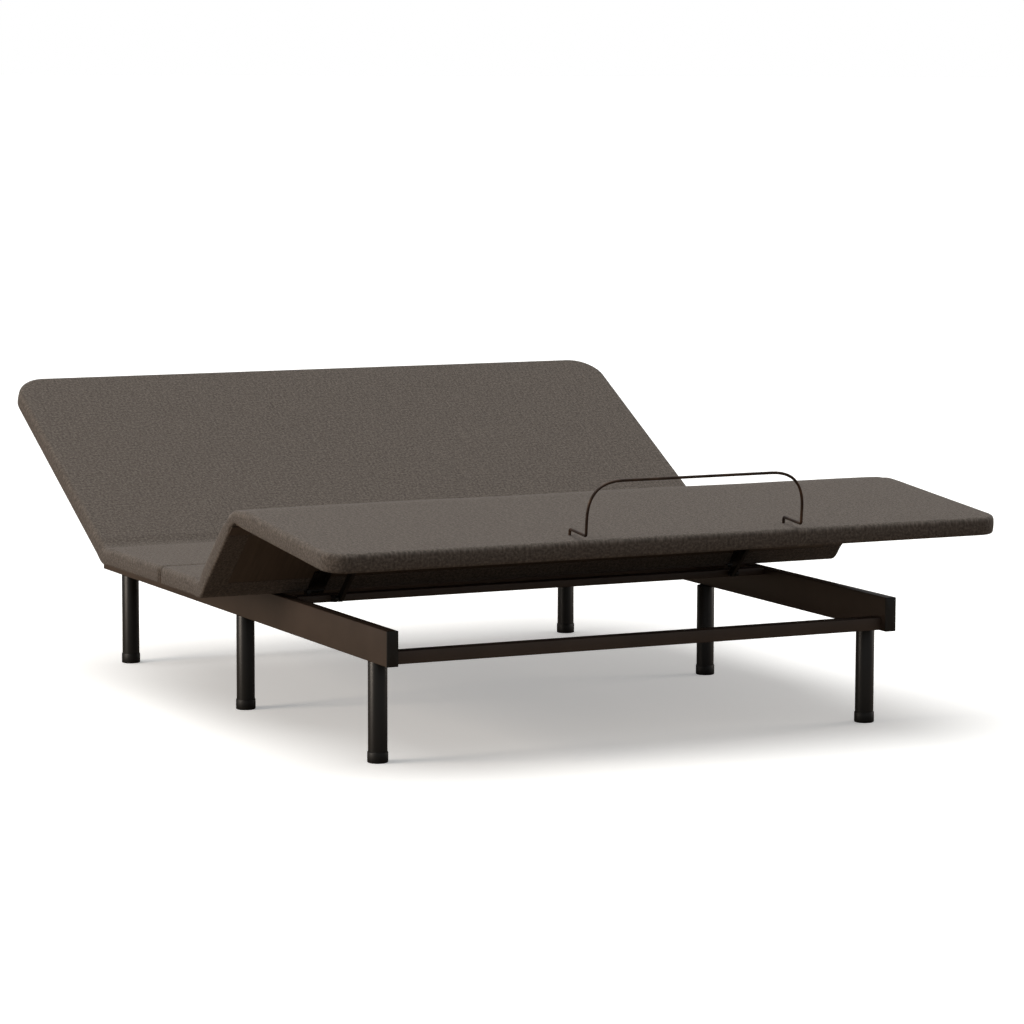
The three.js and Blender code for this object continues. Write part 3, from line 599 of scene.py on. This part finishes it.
def finish_nodes(material, *names):
    """Gives CAD nodes that keep their shape a finish."""
    for name in names:
        mesh = frame["nodes"][name].data
        mesh.materials.clear()
        mesh.materials.append(material)


plywood = stained_plywood()
finish_nodes(plywood, "seat_board_rear", "seat_board_front", "back_board", "thigh_board", "leg_board")


# ---- frame tubes ----
# Rectangular steel tube, welded into a flat frame, then powder coated dark brown.
RAIL_WALL = 2 * MM
CROSS_TUBE_WALL = 1.5 * MM
TUBE_CORNER = 1.6 * MM
LEAST_CORNER = 0.4 * MM


def powder_coat(name, dark, light, roughness):
    """Baked powder coat: satin, with the faint orange peel of the melted powder at 1.2 mm."""
    material, tree = new_material(name)
    place = add_node(tree, "ShaderNodeTexCoord").outputs["Object"]
    cloud = add_node(tree, "ShaderNodeTexNoise", {"Vector": place, "Scale": 1 / (90 * MM), "Detail": 4})
    peel = add_node(tree, "ShaderNodeTexNoise", {"Vector": place, "Scale": 1 / (1.2 * MM), "Detail": 2})
    ramp = add_node(tree, "ShaderNodeValToRGB", {"Fac": cloud.outputs["Fac"]})
    coat = set_stops(ramp, (0.35, dark), (0.65, light))
    rough = add_node(
        tree, "ShaderNodeMapRange", {"Value": cloud.outputs["Fac"], 3: roughness - 0.04, 4: roughness + 0.05}
    )
    bump = add_node(
        tree, "ShaderNodeBump", {"Height": peel.outputs["Fac"], "Strength": 0.12, "Distance": 0.2 * MM}
    )
    shader = add_node(
        tree,
        "ShaderNodeBsdfPrincipled",
        {
            "Base Color": coat,
            "Roughness": rough.outputs[0],
            "IOR": 1.5,
            "Normal": bump.outputs[0],
        },
    )
    set_surface(tree, shader)
    return material


def loft(name, rings, material, ends="capped"):
    """A closed surface through rings of points (ring, point, xyz). The ends are fans to their middle,
    or joined to each other for a tube with a bore."""
    count, size, _ = rings.shape
    points = rings.reshape(-1, 3)
    index = np.arange(count * size).reshape(count, size)
    if ends == "joined":
        index = np.concatenate([index, index[:1]])
    low, high = index[:-1], index[1:]
    faces = np.stack([low, np.roll(low, -1, 1), np.roll(high, -1, 1), high], axis=-1).reshape(-1, 4)
    if ends == "capped":
        middles = np.stack([rings[0].mean(0), rings[-1].mean(0)])
        points = np.concatenate([points, middles])
        fans = []
        for ring, middle, flip in ((index[0], count * size, True), (index[-1], count * size + 1, False)):
            a, b = (np.roll(ring, -1), ring) if flip else (ring, np.roll(ring, -1))
            fans.append(np.stack([a, b, np.full(size, middle), np.full(size, middle)], axis=1))
        faces = np.concatenate([faces, *fans])
    return mesh_piece(name, points, faces, material)


def rounded_rectangle(a0, a1, b0, b1, radius, steps=5):
    """Points round a rectangle, anticlockwise, each corner an arc of that radius."""
    turn = np.linspace(0, math.pi / 2, steps)
    low_a, high_a, low_b, high_b = a0 + radius, a1 - radius, b0 + radius, b1 - radius
    centres = [(high_a, high_b), (low_a, high_b), (low_a, low_b), (high_a, low_b)]
    arcs = []
    for i, (ca, cb) in enumerate(centres):
        angle = turn + i * math.pi / 2
        arcs.append(np.stack([ca + radius * np.cos(angle), cb + radius * np.sin(angle)], axis=1))
    return np.concatenate(arcs)


def box_tube(name, axis, wall, material):
    """A rectangular tube in the box of its CAD node: an outer and an inner section at both ends."""
    low, high = (np.array(corner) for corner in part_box(name))
    others = [i for i in range(3) if i != axis]
    sections = []
    for inset, place in ((0, low[axis]), (0, high[axis]), (wall, high[axis]), (wall, low[axis])):
        (a0, b0), (a1, b1) = low[others] + inset, high[others] - inset
        flat = rounded_rectangle(a0, a1, b0, b1, max(TUBE_CORNER - inset, LEAST_CORNER))
        ring = np.empty((len(flat), 3))
        ring[:, others] = flat
        ring[:, axis] = place
        sections.append(ring)
    rings = np.array(sections)
    if axis == 1:
        rings = rings[::-1]
    piece = loft(f"{name}_tube", rings, material, ends="joined")
    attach(piece, "frame")
    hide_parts(name)


frame_paint = powder_coat("brown_powder_coat", "#3a2f28", "#443830", 0.42)
for side in ("left", "right"):
    box_tube(f"rail_{side}", 1, RAIL_WALL, frame_paint)
for place in ("foot", "thigh", "middle", "seat", "head"):
    box_tube(f"{place}_cross_tube", 0, CROSS_TUBE_WALL, frame_paint)


# ---- legs and feet ----
# 39 mm round tube, closed at the top and screwed up into the rail, painted black, in a cup of
# black polypropylene.
LEG_ROUND = 64
TUBE_WALL = 1.6 * MM
POLE = 0.2 * MM  # radius of the ring round each pole, which a fan closes
SOLE = 3 * MM
CUP_CLEARANCE = 0.3 * MM


def revolved(name, profile, centre, material):
    """A profile of (radius, height) turned about an upright axis, and closed at both its ends."""
    turn = np.linspace(0, 2 * math.pi, LEG_ROUND, endpoint=False)
    radius, height = np.array(profile).T
    rings = np.stack(
        [
            centre[0] + radius[:, None] * np.cos(turn),
            centre[1] + radius[:, None] * np.sin(turn),
            np.repeat(height[:, None], LEG_ROUND, axis=1),
        ],
        axis=-1,
    )
    return loft(name, rings, material)


def moulded_plastic(name, colour, roughness):
    """Injection moulded polypropylene: dull black with a fine spark-eroded grain at 0.9 mm."""
    material, tree = new_material(name)
    place = add_node(tree, "ShaderNodeTexCoord").outputs["Object"]
    grain = add_node(tree, "ShaderNodeTexNoise", {"Vector": place, "Scale": 1 / (0.9 * MM), "Detail": 2})
    bump = add_node(
        tree, "ShaderNodeBump", {"Height": grain.outputs["Fac"], "Strength": 0.25, "Distance": 0.15 * MM}
    )
    shader = add_node(
        tree,
        "ShaderNodeBsdfPrincipled",
        {"Base Color": linear(colour), "Roughness": roughness, "IOR": 1.49, "Normal": bump.outputs[0]},
    )
    set_surface(tree, shader)
    return material


leg_paint = powder_coat("black_powder_coat", "#0c0b09", "#12110e", 0.38)
cap_plastic = moulded_plastic("moulded_polypropylene", "#0b0a08", 0.5)
for side in ("left", "right"):
    for row in ("foot", "middle", "head"):
        name = f"leg_{side}_{row}"
        low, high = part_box(name)
        radius = (high.x - low.x) / 2
        centre = ((low.x + high.x) / 2, (low.y + high.y) / 2)
        bore, lid = radius - TUBE_WALL, high.z - TUBE_WALL
        profile = [
            (POLE, lid), (bore, lid), (bore, low.z), (radius, low.z), (radius, high.z - 0.8 * MM),
            (radius - 0.25 * MM, high.z - 0.25 * MM), (radius - 0.8 * MM, high.z), (POLE, high.z),
        ]
        leg = revolved(f"{name}_tube", profile, centre, leg_paint)
        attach(leg, "frame")
        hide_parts(name)

        name = f"foot_pad_{side}_{row}"
        low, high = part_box(name)
        outer = (high.x - low.x) / 2
        inner = radius + CUP_CLEARANCE
        profile = [
            (POLE, 0), (outer - 2 * MM, 0), (outer - 0.6 * MM, 0.6 * MM), (outer, 2 * MM),
            (outer, high.z - 0.8 * MM), (outer - 0.3 * MM, high.z - 0.2 * MM), (outer - 0.7 * MM, high.z),
            (inner, high.z), (inner, SOLE), (POLE, SOLE),
        ]
        foot = revolved(f"{name}_cup", profile, centre, cap_plastic)
        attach(foot, "frame")
        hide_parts(name)


# ---- rail plugs ----
# Push-in plugs of moulded polypropylene that close the four ends of the rails: a shank inside
# the tube and a head with softened edges.
PLUG_CORNER = 1.5 * MM
PLUG_SECTIONS = np.array([(2.3, 16.3), (2.3, 2.0), (0, 2.0), (0, 0.7), (0.2, 0.25), (0.7, 0)]) * MM

for side in ("left", "right"):
    for end, sign in (("foot", -1), ("head", 1)):
        name = f"rail_cap_{side}_{end}"
        low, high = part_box(name)
        face = high.y if sign > 0 else low.y
        rings = []
        for inset, depth in PLUG_SECTIONS:
            flat = rounded_rectangle(
                low.x + inset, high.x - inset, low.z + inset, high.z - inset, PLUG_CORNER
            )
            level = np.full(len(flat), face - sign * depth)
            rings.append(np.stack([flat[:, 0], level, flat[:, 1]], axis=1))
        stack = np.array(rings)
        plug = loft(f"{name}_plug", stack if sign < 0 else stack[:, ::-1], cap_plastic)
        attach(plug, "frame")
        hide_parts(name)


# ---- mattress retainer ----
# A 6 mm steel rod bent into a hoop with two turned feet, finished dark bronze, that plugs into
# two holes in the leg section.
ROD_RADIUS = 3 * MM
RETAINER_X = (-218 * MM, 270 * MM)
UPRIGHT_Y = -512 * MM
SOCKET_Y = -441 * MM
HOOP_TOP = DECK_THICKNESS + 121.8 * MM
FOOT_LEVEL = DECK_THICKNESS + 13.5 * MM
TAIL_LEVEL = 4 * MM
HOOP_CORNER = 75 * MM
FOOT_BEND = 5 * MM


def rounded_route(corners, steps=14):
    """A route through corners, each (point, radius): straight runs joined by quadratic bends."""
    points = [np.array(point) for point, _ in corners]
    route = [points[0][None]]
    for before, (point, radius), after in zip(points, corners[1:-1], points[2:]):
        point = np.array(point)
        enter = point + (before - point) / np.linalg.norm(before - point) * radius
        leave = point + (after - point) / np.linalg.norm(after - point) * radius
        t = np.linspace(0, 1, steps)[:, None]
        route.append((1 - t) ** 2 * enter + 2 * t * (1 - t) * point + t**2 * leave)
    route.append(points[-1][None])
    return np.concatenate(route)


def rod_rings(route, radius, count=20):
    """Circles square to the route, carried along it without twisting."""
    tangent = np.gradient(route, axis=0)
    tangent /= np.linalg.norm(tangent, axis=1, keepdims=True)
    normal = np.cross(tangent[0], [0.0, 1.0, 0.3])
    turn = np.linspace(0, 2 * math.pi, count, endpoint=False)
    rings = []
    for place, direction in zip(route, tangent):
        normal = normal - direction * (normal @ direction)
        normal /= np.linalg.norm(normal)
        other = np.cross(direction, normal)
        rings.append(place + radius * (np.cos(turn)[:, None] * normal + np.sin(turn)[:, None] * other))
    return np.array(rings)


x0, x1 = RETAINER_X
hoop = rounded_route(
    [
        ((x0, SOCKET_Y, TAIL_LEVEL), 0),
        ((x0, SOCKET_Y, FOOT_LEVEL), FOOT_BEND),
        ((x0, UPRIGHT_Y, FOOT_LEVEL), FOOT_BEND),
        ((x0, UPRIGHT_Y, HOOP_TOP), HOOP_CORNER),
        ((x1, UPRIGHT_Y, HOOP_TOP), HOOP_CORNER),
        ((x1, UPRIGHT_Y, FOOT_LEVEL), FOOT_BEND),
        ((x1, SOCKET_Y, FOOT_LEVEL), FOOT_BEND),
        ((x1, SOCKET_Y, TAIL_LEVEL), 0),
    ]
)
in_leg = turned(hoop + knee, knee, KNEE_ANGLE - THIGH_ANGLE)


def bronzed_steel():
    """Oil-rubbed bronze finish on drawn rod: dark, half glossy, rubbed lighter in patches."""
    material, tree = new_material("bronzed_steel_rod")
    place = add_node(tree, "ShaderNodeTexCoord").outputs["Object"]
    patches = add_node(tree, "ShaderNodeTexNoise", {"Vector": place, "Scale": 1 / (25 * MM), "Detail": 4})
    ramp = add_node(tree, "ShaderNodeValToRGB", {"Fac": patches.outputs["Fac"]})
    bronze = set_stops(ramp, (0.35, "#2a1f18"), (0.7, "#4a382b"))
    shader = add_node(
        tree,
        "ShaderNodeBsdfPrincipled",
        {"Base Color": bronze, "Metallic": 0.6, "Roughness": 0.38},
    )
    set_surface(tree, shader)
    return material


retainer = loft("retainer_hoop", rod_rings(in_leg, ROD_RADIUS), bronzed_steel())
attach(retainer, "retainer")
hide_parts("retainer_bar")


# ---- hinges, arms and links ----
# Pressed steel strip and turned pins, powder coated black with the legs.
for side in ("left", "right"):
    finish_nodes(
        leg_paint,
        *(f"{kind}_{side}" for kind in ("back_hinge", "thigh_hinge", "back_arm", "thigh_arm")),
        *(f"{kind}_{side}" for kind in ("leg_bracket", "link_bracket", "leg_link")),
    )


# ---- drives ----
# Two linear actuators in moulded nylon housings, with plated rods, painted levers and brackets,
# and the control box that feeds them.
def zinc_plate():
    """Bright zinc plating on drawn rod: metallic, with a dull spangle at 6 mm."""
    material, tree = new_material("zinc_plated_steel")
    place = add_node(tree, "ShaderNodeTexCoord").outputs["Object"]
    spangle = add_node(tree, "ShaderNodeTexVoronoi", {"Vector": place, "Scale": 1 / (6 * MM)})
    ramp = add_node(tree, "ShaderNodeValToRGB", {"Fac": spangle.outputs["Color"]})
    plate = set_stops(ramp, (0, "#8b8e90"), (1, "#b3b6b8"))
    rough = add_node(tree, "ShaderNodeMapRange", {"Value": spangle.outputs["Distance"], 3: 0.34, 4: 0.48})
    shader = add_node(
        tree,
        "ShaderNodeBsdfPrincipled",
        {"Base Color": plate, "Metallic": 1.0, "Roughness": rough.outputs[0]},
    )
    set_surface(tree, shader)
    return material


zinc = zinc_plate()
drive_plastic = moulded_plastic("moulded_nylon", "#1b1b1c", 0.55)
for drive in ("back", "thigh"):
    finish_nodes(drive_plastic, f"{drive}_actuator_housing", f"{drive}_actuator_motor")
    finish_nodes(zinc, f"{drive}_actuator_rod")
    finish_nodes(leg_paint, f"{drive}_lever", f"{drive}_drive_bracket")
finish_nodes(moulded_plastic("moulded_abs", "#1d1d1f", 0.6), "control_box")
